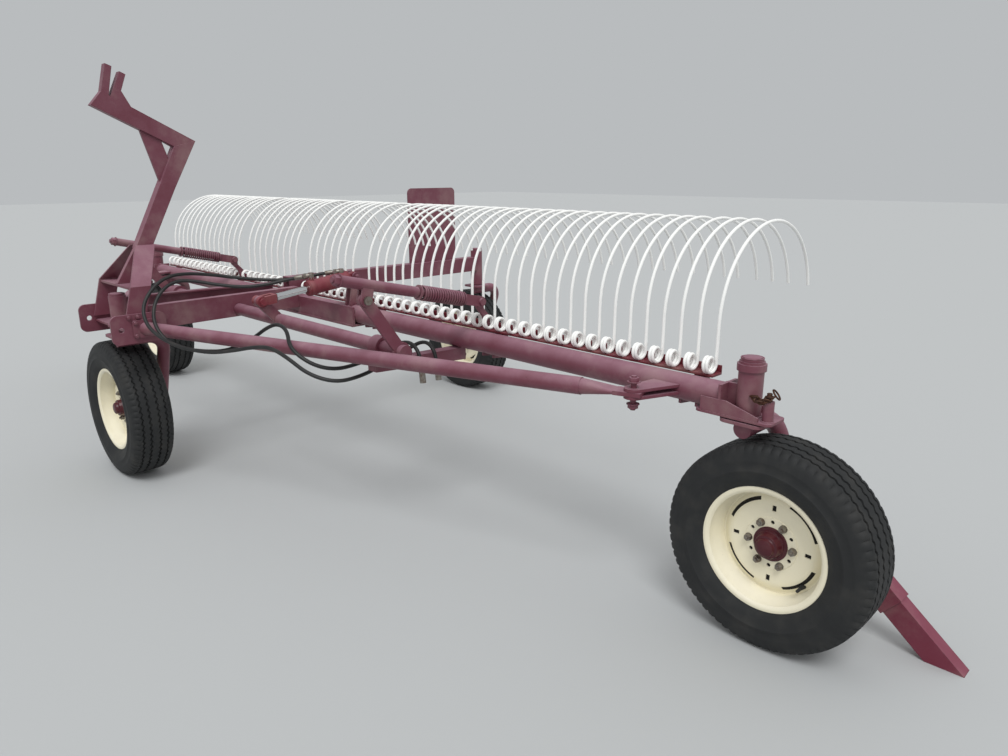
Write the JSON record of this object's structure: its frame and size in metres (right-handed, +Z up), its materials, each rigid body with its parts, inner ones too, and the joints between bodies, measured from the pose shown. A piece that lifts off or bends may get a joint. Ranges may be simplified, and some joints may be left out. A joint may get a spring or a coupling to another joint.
{
  "type": "orchard windrow rake",
  "caption": "Towed windrow rake: a pipe toolbar on castor wheels carries rows of curved spring tines that a cylinder, rockshaft and sprung lift rods raise and lower.",
  "frame": {"origin": "on the ground at the middle of the machine's outline", "axes": "+X along the toolbar toward its far end, +Y forward to the towing side, +Z up"},
  "size_m": [5.82, 2.662, 1.962],
  "materials": {
    "frame_paint": "faded maroon machine enamel",
    "cylinder_paint": "red enamel",
    "chrome_rod": "hard chrome",
    "rim_paint": "cream wheel enamel",
    "tyre_rubber": "weathered rubber",
    "hose_rubber": "black hydraulic hose cover",
    "tine_paint": "white enamel on spring wire",
    "zinc_bolt": "dull zinc plate"
  },
  "bodies": {
    "frame": {"toolbar": "frame_paint", "end_bracket_near": "frame_paint", "end_bracket_far": "frame_paint", "saddle": "frame_paint", "backbone_near": "frame_paint", "backbone_far": "frame_paint", "tail_beam": "frame_paint", "upright_plate": "frame_paint", "head": "frame_paint", "mast_legs": "frame_paint", "mast_neck": "frame_paint", "brace_near": "frame_paint", "brace_far": "frame_paint", "brace_ears": "frame_paint", "outriggers": "frame_paint", "cylinder_mount": "frame_paint", "hinge_lugs": "frame_paint", "hose_gland": "hose_rubber", "hose_butt": "hose_rubber", "coupler_gland": "zinc_bolt", "coupler_butt": "zinc_bolt"},
    "rockshaft": {"rockshaft": "frame_paint", "levers": "frame_paint", "lever_pins": "zinc_bolt"},
    "barrel": {"cylinder_barrel": "cylinder_paint"},
    "rod": {"cylinder_rod": "chrome_rod"},
    "lift_near": {"lift_rod_near": "frame_paint", "spring_near": "frame_paint"},
    "lift_far": {"lift_rod_far": "frame_paint", "spring_far": "frame_paint"},
    "tines_near": {"tine_bar_near": "tine_paint", "crank_near": "frame_paint"},
    "tines_far": {"tine_bar_far": "tine_paint", "crank_far": "frame_paint"},
    "tongue": {"tongue": "frame_paint"},
    "castor_near": {"leg_near": "frame_paint", "tongue_pin": "zinc_bolt"},
    "wheel_near": {"rim_near": "rim_paint", "tyre_near": "tyre_rubber"},
    "castor_far": {"leg_far": "frame_paint"},
    "wheel_far": {"rim_far": "rim_paint", "tyre_far": "tyre_rubber"},
    "castor_front": {"leg_front": "frame_paint"},
    "wheel_front": {"rim_front": "rim_paint", "tyre_front": "tyre_rubber"},
    "castor_tail": {"leg_tail": "frame_paint"},
    "wheel_tail": {"rim_tail": "rim_paint", "tyre_tail": "tyre_rubber"}
  },
  "joints": [
    {"name": "rockshaft_turn", "type": "hinge", "parent": "frame", "child": "rockshaft", "pos_m": [0.09551, 0.696, 0.82], "axis": [1, 0, 0], "range_deg": [0, 77.3]},
    {"name": "tines_near_swing", "type": "hinge", "parent": "frame", "child": "tines_near", "pos_m": [0.09551, 0.224, 0.752], "axis": [1, 0, 0], "range_deg": [0, 92.16]},
    {"name": "tines_far_swing", "type": "hinge", "parent": "frame", "child": "tines_far", "pos_m": [0.09551, 0.224, 0.752], "axis": [1, 0, 0], "range_deg": [0, 92.16]},
    {"name": "lift_near_swivel", "type": "hinge", "parent": "rockshaft", "child": "lift_near", "pos_m": [-1.02449, 0.85434, 1.04116], "axis": [1, 0, 0], "range_deg": [-61.88, 0]},
    {"name": "lift_far_swivel", "type": "hinge", "parent": "rockshaft", "child": "lift_far", "pos_m": [1.21551, 0.85434, 1.04116], "axis": [1, 0, 0], "range_deg": [-61.88, 0]},
    {"name": "barrel_tilt", "type": "hinge", "parent": "frame", "child": "barrel", "pos_m": [-0.08449, 0.271, 0.985], "axis": [1, 0, 0], "range_deg": [0, 1.56]},
    {"name": "rod_slide", "type": "slide", "parent": "barrel", "child": "rod", "axis": [0, 0.9919, -0.1271], "range_m": [-0.16957, 0]},
    {"name": "castor_near_swivel", "type": "hinge", "parent": "frame", "child": "castor_near", "pos_m": [-2.26449, 0.286, 0.8], "axis": [0, 0, 1], "range_deg": [-90, 30]},
    {"name": "wheel_near_spin", "type": "hinge", "parent": "castor_near", "child": "wheel_near", "pos_m": [-2.37449, 0.256, 0.3445], "axis": [0, 1, 0], "continuous": true},
    {"name": "castor_far_swivel", "type": "hinge", "parent": "frame", "child": "castor_far", "pos_m": [2.45551, 0.286, 0.8], "axis": [0, 0, 1], "range_deg": [-90, 90]},
    {"name": "wheel_far_spin", "type": "hinge", "parent": "castor_far", "child": "wheel_far", "pos_m": [2.56551, 0.256, 0.3445], "axis": [0, 1, 0], "continuous": true},
    {"name": "castor_front_swivel", "type": "hinge", "parent": "frame", "child": "castor_front", "pos_m": [0.49551, 1.216, 0.8], "axis": [0, 0, 1], "continuous": true},
    {"name": "wheel_front_spin", "type": "hinge", "parent": "castor_front", "child": "wheel_front", "pos_m": [0.63551, 1.186, 0.3445], "axis": [0, 1, 0], "continuous": true},
    {"name": "castor_tail_swivel", "type": "hinge", "parent": "frame", "child": "castor_tail", "pos_m": [0.49551, -1.106, 0.8], "axis": [0, 0, 1], "continuous": true},
    {"name": "wheel_tail_spin", "type": "hinge", "parent": "castor_tail", "child": "wheel_tail", "pos_m": [0.63551, -1.136, 0.3445], "axis": [0, 1, 0], "continuous": true},
    {"name": "tongue_hinge", "type": "hinge", "parent": "castor_near", "child": "tongue", "pos_m": [-2.35191, 0.006, 0.42], "axis": [0, 1, 0], "range_deg": [0, 45]}
  ],
  "couplings": [
    {"joint": "tines_near_swing", "follows": "rockshaft_turn", "ratio": 1.1897},
    {"joint": "tines_far_swing", "follows": "rockshaft_turn", "ratio": 1.1897},
    {"joint": "lift_near_swivel", "follows": "rockshaft_turn", "ratio": -0.79886},
    {"joint": "lift_far_swivel", "follows": "rockshaft_turn", "ratio": -0.79886},
    {"joint": "barrel_tilt", "follows": "rockshaft_turn", "ratio": 0.02},
    {"joint": "rod_slide", "follows": "rockshaft_turn", "m_per_rad": -0.12536}
  ]
}
